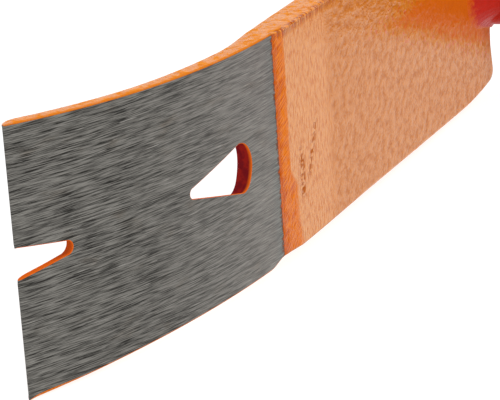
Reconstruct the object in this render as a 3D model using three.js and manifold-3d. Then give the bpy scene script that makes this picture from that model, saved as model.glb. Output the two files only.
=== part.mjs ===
// Pry bar with a wide ground blade, a round shank and a moulded grip with a striking cap.
// Millimetres, +Z up. The bar lies on its side: the blade's width runs along Z, the shank along +Y
// and the blade leaves the heel towards +X.
import * as THREE from 'three';
import { mergeVertices } from 'three/addons/utils/BufferGeometryUtils.js';
import Module from 'manifold-3d';

const wasm = await Module();
wasm.setup();

const DEG = Math.PI / 180;
const GAP = 0.3; // clearance kept between pieces that touch
const CLEAR = 6; // how far a cutter runs past what it cuts
const CUTTER_REACH = 20; // how far a through cutter reaches, either side of a face

// Blade, measured along its front face. "Tip" is the cutting edge, "body" the thick painted length.
const TIP_WIDTH = 45.4;
const WAIST_WIDTH = 41.3; // at the end of the ground length
const BODY_WIDTH_AT_HEEL = 42.9;
const EDGE_HOLLOW = 0.55; // how far each edge curves in halfway from tip to waist
const LOWER_STEP = 0.9; // how far the lower edge steps in where the grinding ends
const LOWER_STEP_LENGTH = 5;
const LOWER_STEP_FADE = 1.6; // power of the curve by which the lower edge widens again to the heel
const SIDE_BULGE = 0.15; // how far each side swells at the middle of its thickness
const GROUND_LENGTH = 65.6;
const GROUND_TURN = 24.5 * DEG; // bend over the ground length
const GROUND_KINK = 3 * DEG; // step in direction where the grinding ends
const BEVEL_LENGTH = 2.8;
const BEVEL_RISE = 0.9;
const EDGE_THICKNESS = 0.3;
const EDGE_BEVEL_LENGTH = 5; // short bevel behind the cutting edge
const EDGE_BEVEL_POWER = 4; // how much of the bevel's growth comes right behind the edge
const NECK_THICKNESS = 2.55;
const NECK_GROWTH = 0.85; // slow thickening past the neck
const NECK_START = 25;
const NECK_LENGTH = 33;
const FLARE_GROWTH = 1.75; // quick thickening up to the body
const FLARE_START = 52;
const FLARE_LENGTH = 17;
const BODY_THICKNESS = 6.1;
const BODY_THICKENING = 18; // length over which the body grows to its full thickness
const GROUND_CHAMFER = 0.15; // corners of the ground face
const CORNER_CHAMFER = 0.6; // all other long corners
const CORNER_SHARE = 0.3; // chamfers take no more than this share of the thickness

// Heel, measured along the body's front face from the end of the ground length.
const BODY_DROP = 10 * DEG; // the body leans this far below square to the shank
const SHANK_DISTANCE = 113; // to the shank's axis
const SHOULDER_DISTANCE = 112.3;
const SHOULDER_LENGTH = 19; // rounding of each shoulder, along the blade
const SHOULDER_DROP = 1.1; // fall of the edge over that rounding
const SHOULDER_CORNER = 2.7; // size of the corner after it
const SHOULDER_WAIST = 1.2; // how far the shoulder's end cuts back in beside the shank
const SHOULDER_WAIST_HALF = 12; // at this distance from the centre line
const TANG_WIDTH = 16; // narrow tail under the shank's foot
const TANG_FILLET = 1.2;
const TANG_END = 121.2;
const HEEL_RADIUS = 4.5;

// Fillet weld between the shank's foot and the blade.
const WELD_SPREAD = 76 * DEG; // either side of straight ahead
const WELD_FRONT_LEG = 8;
const WELD_FRONT_RISE = 6;
const WELD_SIDE_LEG = 1.2;
const WELD_TOE = 0.4;
const WELD_SECTION = [[0.12, 0.62], [0.4, 0.26]]; // hollow of its face, as shares of the leg and the rise

// Nail slots, both close to the blade's centre line.
const NOTCH_DEPTH = 10.9;
const NOTCH_HALF_MOUTH = 2.6;
const NOTCH_ROOT_RADIUS = 1.1;
const NOTCH_OFFSET = 0.15; // the notch is cut this far above the centre line
const SLOT_START = 37.9;
const SLOT_END = 56;
const SLOT_BULGE = 1.5; // how far its wide end swells past the corners
const SLOT_NARROW_RADIUS = 0.9;
const SLOT_HALF_WIDTH = 4.35;
const SLOT_UPPER_CORNER = 2.3;
const SLOT_LOWER_CORNER = 1.6;
const SLOT_OFFSET = 0.6; // the keyhole slot is punched this far above the centre line

// Shank and what is on it, measured along +Y from the body's front face.
const SHANK_RADIUS = 8;
const COLLAR_START = 170;
const COLLAR_LENGTH = 8;
const COLLAR_RADIUS = 13;
const COLLAR_NOSE_RADIUS = 9; // small end of the collar's cone
const COLLAR_CONE_LENGTH = 3;
const COLLAR_CHAMFER = 1;
const CORE_RADIUS = 12;
const CORE_FLANGE_RADIUS = 15;
const CORE_FLANGE_LENGTH = 4;
const CORE_CHAMFER = 1;
const BAND_LENGTH = 3;
const BAND_RADIUS = 15.2;
const SLEEVE_RADIUS = 15.5;
const SLEEVE_LENGTH = 96;
const RIB_COUNT = 9;
const STEPS_PER_RIB = 6;
const RIB_DEPTH = 0.9;
const SLEEVE_SWELL = 1.4;
const POMMEL_LENGTH = 22;
const POMMEL_RADIUS = TIP_WIDTH / 2 + SIDE_BULGE; // as wide as the blade, so the bar lies level
// Flare of the pommel: shares of its length, and of the way from the band's radius to the full one.
const POMMEL_PROFILE = [
  [0, 0], [0.14, 0.08], [0.32, 0.31], [0.5, 0.79],
  [0.61, 1], [0.75, 1], [0.89, 0.82], [1, 0.3],
];
const WASHER_THICKNESS = 2;
const WASHER_RADIUS = 17;
const CAP_RADIUS = 15;
const CAP_LENGTH = 27;
const CAP_CHAMFER = 2.5;
const CAP_LEAD_IN = 1; // chamfer at the cap's open end
const CAP_BORE_DEPTH = 14;
const PIN_SETBACK = 6; // pin axis to the cap's inner end
const PIN_RADIUS = 2.5;
const PIN_RECESS = 0.35; // how far each end of the pin lies under the cap's surface

const PAINT = { color: 0xd0661f, roughness: 0.42, metalness: 0 };
const FORGED_STEEL = { color: 0x8a8680, roughness: 0.38, metalness: 1 };
const PLATED_STEEL = { color: 0xa9abad, roughness: 0.3, metalness: 1 };
const HARD_PLASTIC = { color: 0x202124, roughness: 0.45, metalness: 0 };
const ORANGE_PLASTIC = { color: 0xcf5f1c, roughness: 0.4, metalness: 0 };
const RUBBER = { color: 0x2b2c2e, roughness: 0.8, metalness: 0 };

const tool = new THREE.Group();

function addPiece(name, geometry, look) {
  const mesh = new THREE.Mesh(geometry, new THREE.MeshStandardMaterial(look));
  mesh.name = name;
  tool.add(mesh);
}

// --- booleans -----------------------------------------------------------------------------------

function toSolid(geometry) {
  const bare = geometry.clone();
  bare.deleteAttribute('normal');
  bare.deleteAttribute('uv');
  const merged = mergeVertices(bare, 1e-5);
  const triangles = [];
  for (let i = 0; i < merged.index.count; i += 3) {
    const [a, b, c] = merged.index.array.slice(i, i + 3);
    if (a !== b && b !== c && c !== a) {
      triangles.push(a, b, c);
    }
  }
  return new wasm.Manifold(new wasm.Mesh({
    numProp: 3,
    vertProperties: new Float32Array(merged.attributes.position.array),
    triVerts: new Uint32Array(triangles),
  }));
}

function toGeometry(solid) {
  const mesh = solid.getMesh();
  const geometry = new THREE.BufferGeometry();
  geometry.setAttribute('position', new THREE.BufferAttribute(new Float32Array(mesh.vertProperties), 3));
  geometry.setIndex(new THREE.BufferAttribute(new Uint32Array(mesh.triVerts), 1));
  geometry.computeVertexNormals();
  return geometry;
}

// --- general shapes -----------------------------------------------------------------------------

// Solid through a row of rings that all have the same number of points, closed by a fan at each end.
// Seen from the first ring's end, the points run anticlockwise.
function loft(rings) {
  const size = rings[0].length;
  const positions = rings.flat().flatMap((point) => [point.x, point.y, point.z]);
  const triangles = [];
  for (let i = 0; i < rings.length - 1; i += 1) {
    for (let j = 0; j < size; j += 1) {
      const a = i * size + j;
      const b = i * size + (j + 1) % size;
      triangles.push(a, a + size, b, b, a + size, b + size);
    }
  }
  const last = (rings.length - 1) * size;
  for (let j = 1; j < size - 1; j += 1) {
    triangles.push(0, j, j + 1);
    triangles.push(last, last + j + 1, last + j);
  }
  const geometry = new THREE.BufferGeometry();
  geometry.setAttribute('position', new THREE.Float32BufferAttribute(positions, 3));
  geometry.setIndex(triangles);
  geometry.computeVertexNormals();
  return geometry;
}

// Ring turned about the shank: outline points are [radius, distance along the shank].
function turned(outline, segments = 48) {
  const points = outline.map(([radius, along]) => new THREE.Vector2(radius, along));
  return new THREE.LatheGeometry([...points, points[0]], segments);
}

// Plain cylinder along +Z, centred on a point of the shank's axis.
function crossCylinder(radius, length, along) {
  const geometry = new THREE.CylinderGeometry(radius, radius, length, 24);
  geometry.rotateX(Math.PI / 2);
  geometry.translate(0, along, 0);
  return geometry;
}

function smoothStep(x) {
  const t = Math.min(Math.max(x, 0), 1);
  return t * t * (3 - 2 * t);
}

// --- blade --------------------------------------------------------------------------------------

const CURVATURE = GROUND_TURN / GROUND_LENGTH;
const bodyForward = new THREE.Vector3(Math.cos(BODY_DROP), -Math.sin(BODY_DROP), 0); // to the tip
const bodyUp = new THREE.Vector3(Math.sin(BODY_DROP), Math.cos(BODY_DROP), 0); // out of the front face

// Point of the body frame: distance from the ground length's end, height over the body's front face.
function bodyPoint(distance, height, z) {
  const point = new THREE.Vector3().addScaledVector(bodyForward, SHANK_DISTANCE - distance);
  return point.addScaledVector(bodyUp, height).setZ(z);
}

// Frame of the ground face, a distance from the cutting edge: a point, the way to the tip and the normal.
function groundFrame(fromTip) {
  const travelled = GROUND_LENGTH - fromTip;
  const start = -(BODY_DROP + GROUND_KINK);
  const heading = start - CURVATURE * travelled;
  const origin = bodyPoint(0, -BEVEL_RISE, 0);
  const point = new THREE.Vector3(
    origin.x + (Math.sin(start) - Math.sin(heading)) / CURVATURE,
    origin.y + (Math.cos(heading) - Math.cos(start)) / CURVATURE,
    0,
  );
  return {
    point,
    forward: new THREE.Vector3(Math.cos(heading), Math.sin(heading), 0),
    normal: new THREE.Vector3(-Math.sin(heading), Math.cos(heading), 0),
  };
}

function groundHalfWidth(fromTip) {
  const share = fromTip / GROUND_LENGTH;
  const straight = (TIP_WIDTH + (WAIST_WIDTH - TIP_WIDTH) * share) / 2;
  return straight - EDGE_HOLLOW * 4 * share * (1 - share);
}

// How far the lower edge lies inside the mirror of the upper one.
function groundLowerStep(fromTip) {
  return LOWER_STEP * smoothStep(1 + (fromTip - GROUND_LENGTH) / LOWER_STEP_LENGTH);
}

function bodyLowerStep(distance) {
  return LOWER_STEP * Math.max(1 - distance / SHOULDER_DISTANCE, 0) ** LOWER_STEP_FADE;
}

function groundThickness(fromTip) {
  const short = 1 - Math.min(fromTip / EDGE_BEVEL_LENGTH, 1);
  const neck = NECK_THICKNESS - (NECK_THICKNESS - EDGE_THICKNESS) * short ** EDGE_BEVEL_POWER;
  const slow = NECK_GROWTH * smoothStep((fromTip - NECK_START) / NECK_LENGTH);
  return neck + slow + FLARE_GROWTH * smoothStep((fromTip - FLARE_START) / FLARE_LENGTH);
}

function bodyHalfWidth(distance) {
  const share = Math.min(distance / SHOULDER_DISTANCE, 1);
  return (WAIST_WIDTH + (BODY_WIDTH_AT_HEEL - WAIST_WIDTH) * share) / 2;
}

function frontHeight(distance) {
  return BEVEL_RISE * (Math.min(distance / BEVEL_LENGTH, 1) - 1);
}

function rearDepth(distance) {
  const atGrind = BEVEL_RISE + groundThickness(GROUND_LENGTH);
  const grown = atGrind + (BODY_THICKNESS - atGrind) * smoothStep(distance / BODY_THICKENING);
  const pastHeel = Math.max(distance - (TANG_END - HEEL_RADIUS), 0);
  return grown - (HEEL_RADIUS - Math.sqrt(HEEL_RADIUS ** 2 - pastHeel ** 2));
}

// Ten-sided cross-section: front corners, swollen sides, rear corners. The chamfers are cut inside
// the upper and lower edges.
function bladeRing(place, upper, lower, thickness, frontChamfer, rearChamfer) {
  return [
    place(0, -lower + frontChamfer),
    place(0, upper - frontChamfer),
    place(-frontChamfer, upper),
    place(-thickness / 2, upper + SIDE_BULGE),
    place(-thickness + rearChamfer, upper),
    place(-thickness, upper - rearChamfer),
    place(-thickness, -lower + rearChamfer),
    place(-thickness + rearChamfer, -lower),
    place(-thickness / 2, -lower - SIDE_BULGE),
    place(-frontChamfer, -lower),
  ];
}

function groundRing(fromTip) {
  const { point, normal } = groundFrame(fromTip);
  const place = (height, z) => point.clone().addScaledVector(normal, height).setZ(z);
  const half = groundHalfWidth(fromTip);
  const thickness = groundThickness(fromTip);
  const front = Math.min(GROUND_CHAMFER, CORNER_SHARE * thickness);
  const rear = Math.min(CORNER_CHAMFER, CORNER_SHARE * thickness);
  return bladeRing(place, half, half - groundLowerStep(fromTip), thickness, front, rear);
}

function bodyRing(distance) {
  const front = frontHeight(distance);
  const place = (height, z) => bodyPoint(distance, front + height, z);
  const half = bodyHalfWidth(distance);
  const thickness = front + rearDepth(distance);
  const rear = Math.min(CORNER_CHAMFER, CORNER_SHARE * thickness);
  const rounded = Math.min(distance / BEVEL_LENGTH, 1);
  const corner = GROUND_CHAMFER + (CORNER_CHAMFER - GROUND_CHAMFER) * rounded;
  return bladeRing(place, half, half - bodyLowerStep(distance), thickness, Math.min(corner, rear), rear);
}

function bladeBlank() {
  const groundStations = [0, 0.4, 0.9, 1.5, 2.2, 3.2, EDGE_BEVEL_LENGTH];
  const groundSteps = 16;
  for (let i = 1; i <= groundSteps; i += 1) {
    const share = i / groundSteps;
    groundStations.push(EDGE_BEVEL_LENGTH + (GROUND_LENGTH - EDGE_BEVEL_LENGTH) * share);
  }
  const bodyStations = [BEVEL_LENGTH, 8, 12, BODY_THICKENING, 30, 50, 70, 90];
  const heelSteps = 6;
  for (let i = 0; i <= heelSteps; i += 1) {
    bodyStations.push(TANG_END - HEEL_RADIUS * (1 - Math.sin((i / heelSteps) * 90 * DEG)));
  }
  return loft([...groundStations.map(groundRing), ...bodyStations.map(bodyRing)]);
}

// Outline in the blade's own plane (distance, z), pushed through the blade along a normal.
function throughCutter(shape, origin, forward, normal) {
  const geometry = new THREE.ExtrudeGeometry(shape, {
    depth: 2 * CUTTER_REACH,
    bevelEnabled: false,
    curveSegments: 10,
  });
  const start = origin.clone().addScaledVector(normal, CUTTER_REACH);
  const basis = new THREE.Matrix4().makeBasis(forward, new THREE.Vector3(0, 0, 1), normal.clone().negate());
  geometry.applyMatrix4(basis.setPosition(start));
  return toSolid(geometry);
}

// Everything beside the shoulders and the tang, on one side of the centre line.
function shoulderWaste(side) {
  const tang = TANG_WIDTH / 2;
  const roundingStart = SHOULDER_DISTANCE - SHOULDER_LENGTH;
  const widest = bodyHalfWidth(roundingStart) + SIDE_BULGE;
  const waist = SHOULDER_DISTANCE - SHOULDER_WAIST;
  const far = widest + CLEAR;
  const past = TANG_END + CLEAR;
  const shape = new THREE.Shape();
  const at = (distance, z) => [SHANK_DISTANCE - distance, side * z];
  const turn = SHOULDER_DISTANCE - SHOULDER_CORNER;
  const turnWidth = widest - SHOULDER_DROP;
  const middle = (roundingStart + turn) / 2;
  const slope = SHOULDER_DROP / (turn - middle);
  const fillet = at(waist + TANG_FILLET, tang + TANG_FILLET);
  const quarter = side * 90 * DEG;
  shape.moveTo(...at(roundingStart, far));
  shape.lineTo(...at(roundingStart, widest));
  shape.quadraticCurveTo(...at(middle, widest), ...at(turn, turnWidth));
  shape.quadraticCurveTo(
    ...at(SHOULDER_DISTANCE, turnWidth - slope * SHOULDER_CORNER),
    ...at(SHOULDER_DISTANCE, turnWidth - SHOULDER_CORNER),
  );
  shape.lineTo(...at(waist, SHOULDER_WAIST_HALF));
  shape.absarc(...fillet, TANG_FILLET, 0, -quarter, side > 0);
  shape.lineTo(...at(past, tang));
  shape.lineTo(...at(past, far));
  shape.closePath();
  return throughCutter(shape, new THREE.Vector3(), bodyForward, bodyUp);
}

function notchCutter() {
  const { point, forward, normal } = groundFrame(0);
  const shape = new THREE.Shape();
  const rootX = -(NOTCH_DEPTH - NOTCH_ROOT_RADIUS);
  const flare = (NOTCH_HALF_MOUTH - NOTCH_ROOT_RADIUS) / -rootX;
  const mouth = NOTCH_HALF_MOUTH + flare * CLEAR;
  shape.moveTo(CLEAR, mouth);
  shape.lineTo(rootX, NOTCH_ROOT_RADIUS);
  shape.absarc(rootX, 0, NOTCH_ROOT_RADIUS, 90 * DEG, 270 * DEG, false);
  shape.lineTo(CLEAR, -mouth);
  shape.closePath();
  return throughCutter(shape, point.setZ(NOTCH_OFFSET), forward, normal);
}

// Keyhole slot: narrow towards the tip, with a bulged far end that runs smoothly into both corners.
function slotCutter() {
  const middle = (SLOT_START + SLOT_END) / 2;
  const { point, forward, normal } = groundFrame(middle);
  const narrow = middle - SLOT_START - SLOT_NARROW_RADIUS;
  const wide = middle - (SLOT_END - SLOT_BULGE);
  const cornerShare = (SLOT_UPPER_CORNER + SLOT_LOWER_CORNER) / SLOT_HALF_WIDTH;
  const handle = SLOT_BULGE / (0.5 + cornerShare / 4);
  const join = (corner) => wide - (handle * corner) / SLOT_HALF_WIDTH;
  const upperJoin = [join(SLOT_UPPER_CORNER), SLOT_HALF_WIDTH - SLOT_UPPER_CORNER];
  const lowerJoin = [join(SLOT_LOWER_CORNER), SLOT_LOWER_CORNER - SLOT_HALF_WIDTH];
  const shape = new THREE.Shape();
  shape.moveTo(narrow, SLOT_NARROW_RADIUS);
  shape.lineTo(wide + SLOT_UPPER_CORNER, SLOT_HALF_WIDTH);
  shape.quadraticCurveTo(wide, SLOT_HALF_WIDTH, ...upperJoin);
  shape.quadraticCurveTo(wide - handle, 0, ...lowerJoin);
  shape.quadraticCurveTo(wide, -SLOT_HALF_WIDTH, wide + SLOT_LOWER_CORNER, -SLOT_HALF_WIDTH);
  shape.lineTo(narrow, -SLOT_NARROW_RADIUS);
  shape.absarc(narrow, 0, SLOT_NARROW_RADIUS, -90 * DEG, 90 * DEG, false);
  shape.closePath();
  return throughCutter(shape, point.setZ(SLOT_OFFSET), forward, normal);
}

const bladeSolid = toSolid(bladeBlank())
  .subtract(shoulderWaste(1))
  .subtract(shoulderWaste(-1))
  .subtract(notchCutter())
  .subtract(slotCutter());
addPiece('blade', toGeometry(bladeSolid), PAINT);

// --- shank and its weld -------------------------------------------------------------------------

// Places of the pieces stacked along the shank, each a gap after the one before it.
const collarEnd = COLLAR_START + COLLAR_LENGTH;
const coreStart = collarEnd + GAP;
const flangeEnd = coreStart + CORE_FLANGE_LENGTH;
const frontBandStart = flangeEnd + GAP;
const sleeveStart = frontBandStart + BAND_LENGTH + GAP;
const sleeveEnd = sleeveStart + SLEEVE_LENGTH;
const rearBandStart = sleeveEnd + GAP;
const coreEnd = rearBandStart + BAND_LENGTH;
const pommelStart = coreEnd + GAP;
const pommelEnd = pommelStart + POMMEL_LENGTH;
const washerStart = pommelEnd + GAP;
const washerEnd = washerStart + WASHER_THICKNESS;
const capStart = washerEnd + GAP;
const capEnd = capStart + CAP_LENGTH;
const shankEnd = capStart + CAP_BORE_DEPTH - GAP;
const pinAlong = capStart + PIN_SETBACK;
const pinHole = crossCylinder(PIN_RADIUS + GAP, 4 * CAP_RADIUS, pinAlong);

// The foot is mitred to lie flat on the tang, and the far end is cross-drilled for the cap's pin.
function shankSolid() {
  const rod = new THREE.CylinderGeometry(SHANK_RADIUS, SHANK_RADIUS, 2 * shankEnd, 48);
  const belowFoot = new THREE.BoxGeometry(2 * shankEnd, 2 * shankEnd, 2 * shankEnd);
  belowFoot.translate(0, GAP - shankEnd, 0);
  belowFoot.rotateZ(-BODY_DROP);
  return toSolid(rod).subtract(toSolid(belowFoot)).subtract(toSolid(pinHole));
}

addPiece('shank', toGeometry(shankSolid()), PAINT);

// Fillet weld over the front of the foot: a long leg along the blade ahead of the shank, short at its sides.
function rootWeld() {
  const steps = 24;
  const rings = [];
  for (let i = 0; i <= steps; i += 1) {
    const turn = WELD_SPREAD * ((2 * i) / steps - 1);
    const share = Math.cos(turn * (90 * DEG / WELD_SPREAD)) ** 2;
    const leg = WELD_SIDE_LEG + (WELD_FRONT_LEG - WELD_SIDE_LEG) * share;
    const rise = WELD_SIDE_LEG + (WELD_FRONT_RISE - WELD_SIDE_LEG) * share;
    const place = (out, height) => {
      const radius = SHANK_RADIUS + GAP + out;
      const lean = height * Math.tan(BODY_DROP);
      const ahead = (radius * Math.cos(turn)) / Math.cos(BODY_DROP) - lean;
      return bodyPoint(SHANK_DISTANCE - ahead, height, radius * Math.sin(turn));
    };
    rings.push([
      place(0, GAP),
      place(0, GAP + rise),
      ...WELD_SECTION.map(([out, up]) => place(leg * out, GAP + rise * up)),
      place(leg, GAP + WELD_TOE),
      place(leg, GAP),
    ]);
  }
  return loft(rings);
}

addPiece('root_weld', rootWeld(), PAINT);

// --- collar and grip ----------------------------------------------------------------------------

const bore = SHANK_RADIUS + GAP;
addPiece('front_collar', turned([
  [bore, COLLAR_START],
  [COLLAR_NOSE_RADIUS, COLLAR_START],
  [COLLAR_RADIUS - COLLAR_CHAMFER, COLLAR_START + COLLAR_CONE_LENGTH],
  [COLLAR_RADIUS, COLLAR_START + COLLAR_CONE_LENGTH + COLLAR_CHAMFER],
  [COLLAR_RADIUS, collarEnd],
  [bore, collarEnd],
]), PLATED_STEEL);

// Hard core: a flange behind the collar and a tube that carries the bands and the sleeve.
addPiece('grip_core', turned([
  [bore, coreStart],
  [CORE_FLANGE_RADIUS - CORE_CHAMFER, coreStart],
  [CORE_FLANGE_RADIUS, coreStart + CORE_CHAMFER],
  [CORE_FLANGE_RADIUS, flangeEnd],
  [CORE_RADIUS, flangeEnd],
  [CORE_RADIUS, coreEnd],
  [bore, coreEnd],
]), HARD_PLASTIC);

function gripBand(start) {
  const inner = CORE_RADIUS + GAP;
  return turned([
    [inner, start],
    [BAND_RADIUS, start],
    [BAND_RADIUS, start + BAND_LENGTH],
    [inner, start + BAND_LENGTH],
  ]);
}

addPiece('grip_band_front', gripBand(frontBandStart), ORANGE_PLASTIC);
addPiece('grip_band_rear', gripBand(rearBandStart), ORANGE_PLASTIC);

// Soft sleeve with round ribs, swelling a little towards its middle.
function sleeveOutline() {
  const inner = CORE_RADIUS + GAP;
  const outline = [[inner, sleeveStart]];
  const steps = RIB_COUNT * STEPS_PER_RIB;
  for (let i = 0; i <= steps; i += 1) {
    const share = i / steps;
    const swell = SLEEVE_SWELL * Math.sin(share * Math.PI);
    const rib = (RIB_DEPTH / 2) * (1 - Math.cos(share * RIB_COUNT * 2 * Math.PI));
    outline.push([SLEEVE_RADIUS - RIB_DEPTH + swell + rib, sleeveStart + SLEEVE_LENGTH * share]);
  }
  outline.push([inner, sleeveEnd]);
  return outline;
}

addPiece('grip_sleeve', turned(sleeveOutline(), 32), RUBBER);

// Flared pommel: the widest part of the grip, which stops the hand and rests on the ground.
addPiece('pommel', turned([
  [bore, pommelStart],
  ...POMMEL_PROFILE.map(([length, flare]) => [
    BAND_RADIUS + (POMMEL_RADIUS - BAND_RADIUS) * flare,
    pommelStart + POMMEL_LENGTH * length,
  ]),
  [bore, pommelEnd],
]), RUBBER);

// --- striking cap and its pin -------------------------------------------------------------------

addPiece('cap_washer', turned([
  [bore, washerStart],
  [WASHER_RADIUS, washerStart],
  [WASHER_RADIUS, washerEnd],
  [bore, washerEnd],
]), PLATED_STEEL);

// Steel cap over the shank's end, with a flat struck face.
const capBlank = turned([
  [bore, capStart],
  [CAP_RADIUS - CAP_LEAD_IN, capStart],
  [CAP_RADIUS, capStart + CAP_LEAD_IN],
  [CAP_RADIUS, capEnd - CAP_CHAMFER],
  [CAP_RADIUS - CAP_CHAMFER, capEnd],
  [0, capEnd],
  [0, capStart + CAP_BORE_DEPTH],
  [bore, capStart + CAP_BORE_DEPTH],
]);
addPiece('strike_cap', toGeometry(toSolid(capBlank).subtract(toSolid(pinHole))), FORGED_STEEL);

// Pin through the cap and the shank, its ends just under the cap's surface.
addPiece('cap_pin', crossCylinder(PIN_RADIUS, 2 * (CAP_RADIUS - PIN_RECESS), pinAlong), FORGED_STEEL);

// The origin is under the middle of the tool, on the ground that it lies on.
const bounds = new THREE.Box3().setFromObject(tool);
const centre = bounds.getCenter(new THREE.Vector3());
tool.position.set(-centre.x, -centre.y, -bounds.min.z);

export default tool;
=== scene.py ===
import math

import bmesh
import bpy
import numpy as np
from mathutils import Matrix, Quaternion, Vector
from mathutils.geometry import delaunay_2d_cdt


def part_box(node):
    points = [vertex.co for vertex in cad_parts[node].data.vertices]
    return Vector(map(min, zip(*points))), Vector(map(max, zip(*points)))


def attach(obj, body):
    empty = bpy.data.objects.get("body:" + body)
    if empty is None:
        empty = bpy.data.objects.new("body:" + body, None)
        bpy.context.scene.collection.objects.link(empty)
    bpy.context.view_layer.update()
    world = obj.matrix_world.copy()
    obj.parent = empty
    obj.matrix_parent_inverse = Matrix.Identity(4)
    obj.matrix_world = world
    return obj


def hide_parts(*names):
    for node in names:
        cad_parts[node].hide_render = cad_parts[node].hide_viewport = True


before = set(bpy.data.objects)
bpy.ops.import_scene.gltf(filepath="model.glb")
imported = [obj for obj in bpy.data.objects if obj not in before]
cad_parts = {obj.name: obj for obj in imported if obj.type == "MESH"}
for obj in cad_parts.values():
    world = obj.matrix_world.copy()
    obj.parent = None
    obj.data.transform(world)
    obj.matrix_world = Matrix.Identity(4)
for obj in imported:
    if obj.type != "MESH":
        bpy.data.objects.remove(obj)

MM = 0.001
DEG = math.pi / 180
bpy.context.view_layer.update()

# --- the frame: where the shank's axis meets the blade ---

COLLAR_START = 170.0  # from the body's front face to the front collar, along the shank
shank_low, shank_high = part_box("shank")
HEEL = np.array((
    (shank_low.x + shank_high.x) / 2,
    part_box("front_collar")[0].y - COLLAR_START * MM,
    (shank_low.z + shank_high.z) / 2,
))


def along_shank(node):
    """Where a node starts and ends along the shank, and its outer radius, in millimetres."""
    low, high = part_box(node)
    return (low.y - HEEL[1]) / MM, (high.y - HEEL[1]) / MM, (high.x - low.x) / 2 / MM


# --- blade sizes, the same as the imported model's ---

TIP_WIDTH = 45.4
WAIST_WIDTH = 41.3
BODY_WIDTH_AT_HEEL = 42.9
EDGE_HOLLOW = 0.55
LOWER_STEP = 0.9
LOWER_STEP_LENGTH = 5.0
LOWER_STEP_FADE = 1.6
SIDE_BULGE = 0.15
GROUND_LENGTH = 65.6
GROUND_TURN = 24.5 * DEG
GROUND_KINK = 3 * DEG
CURVATURE = GROUND_TURN / GROUND_LENGTH
BEVEL_LENGTH = 2.8
BEVEL_RISE = 0.9
EDGE_THICKNESS = 0.3
EDGE_BEVEL_LENGTH = 5.0
EDGE_BEVEL_POWER = 4
NECK_THICKNESS = 2.55
NECK_GROWTH, NECK_START, NECK_LENGTH = 0.85, 25.0, 33.0
FLARE_GROWTH, FLARE_START, FLARE_LENGTH = 1.75, 52.0, 17.0
BODY_THICKNESS = 6.1
BODY_DROP = 10 * DEG
SHANK_DISTANCE = 113.0
SHOULDER_DISTANCE = 112.3
SHOULDER_LENGTH = 19.0
SHOULDER_DROP = 1.1
SHOULDER_CORNER = 2.7
SHOULDER_WAIST = 1.2
SHOULDER_WAIST_HALF = 12.0
TANG_WIDTH = 16.0
TANG_FILLET = 1.2
TANG_END = 121.2
HEEL_RADIUS = 4.5
SHANK_RADIUS = 8.0

NOTCH_DEPTH = 10.9
NOTCH_HALF_MOUTH = 2.6
NOTCH_ROOT_RADIUS = 1.1
NOTCH_OFFSET = 0.15
SLOT_START = 37.9
SLOT_END = 56.0
SLOT_BULGE = 1.5
SLOT_NARROW_RADIUS = 0.9
SLOT_HALF_WIDTH = 4.35
SLOT_UPPER_CORNER = 2.3
SLOT_LOWER_CORNER = 1.6
SLOT_OFFSET = 0.6

# --- what only this model has ---

BODY_THICKENING = 6.0  # length over which the blade reaches its full thickness, past the grinding
LEAN_LENGTH = 8.0  # the back turns more gently than the face where the grinding ends
LOWER_BEVEL_GAIN, LOWER_BEVEL_START, LOWER_BEVEL_SPAN = 2.6, 4.0, 5.0
EDGE_BEVEL_GAIN, EDGE_BEVEL_START, EDGE_BEVEL_SPAN = 1.2, 13.0, 8.0
SLOT_BREAKOUT = 1.1  # how much wider the punched slot is at the blade's back
NOTCH_DRAFT = 0.3  # slope of the notch's flanks through the blade
NOTCH_ROOT_DRAFT = 0.26
GRID = 0.8  # spacing of the blade's surface points
BEVEL_ROWS = 9
OUTLINE_STEP = 0.7
LINE_STEP = 0.5
TIP_STEP = 0.25


def smooth(x):
    t = np.clip(x, 0, 1)
    return t * t * (3 - 2 * t)


def ground_half_width(s):
    share = s / GROUND_LENGTH
    tapered = (TIP_WIDTH + (WAIST_WIDTH - TIP_WIDTH) * share) / 2
    return tapered - EDGE_HOLLOW * 4 * share * (1 - share)


def body_half_width(s):
    share = np.clip((s - GROUND_LENGTH) / SHOULDER_DISTANCE, 0, 1)
    return (WAIST_WIDTH + (BODY_WIDTH_AT_HEEL - WAIST_WIDTH) * share) / 2


def lower_step(s):
    """How far the lower edge lies inside the mirror of the upper one."""
    d = s - GROUND_LENGTH
    body = max(1 - d / SHOULDER_DISTANCE, 0) ** LOWER_STEP_FADE
    return LOWER_STEP * (smooth(1 + d / LOWER_STEP_LENGTH) if d < 0 else body)


def ground_thickness(s):
    short = 1 - np.clip(s / EDGE_BEVEL_LENGTH, 0, 1)
    neck = NECK_THICKNESS - (NECK_THICKNESS - EDGE_THICKNESS) * short**EDGE_BEVEL_POWER
    slow = NECK_GROWTH * smooth((s - NECK_START) / NECK_LENGTH)
    return neck + slow + FLARE_GROWTH * smooth((s - FLARE_START) / FLARE_LENGTH)


def thickness(s):
    """Blade's thickness behind the front face, a distance s from the cutting edge."""
    ground = ground_thickness(s)
    d = s - GROUND_LENGTH
    at_grind = BEVEL_RISE + ground_thickness(GROUND_LENGTH)
    past_heel = np.clip(d - (TANG_END - HEEL_RADIUS), 0, HEEL_RADIUS)
    rounding = HEEL_RADIUS - np.sqrt(HEEL_RADIUS**2 - past_heel**2)
    thinner = (1 - np.clip(d / BODY_THICKENING, 0, 1)) ** 2
    body = BODY_THICKNESS - (BODY_THICKNESS - at_grind) * thinner - rounding
    front = BEVEL_RISE * (np.clip(d / BEVEL_LENGTH, 0, 1) - 1)
    return np.where(d < 0, ground, body + front)


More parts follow.
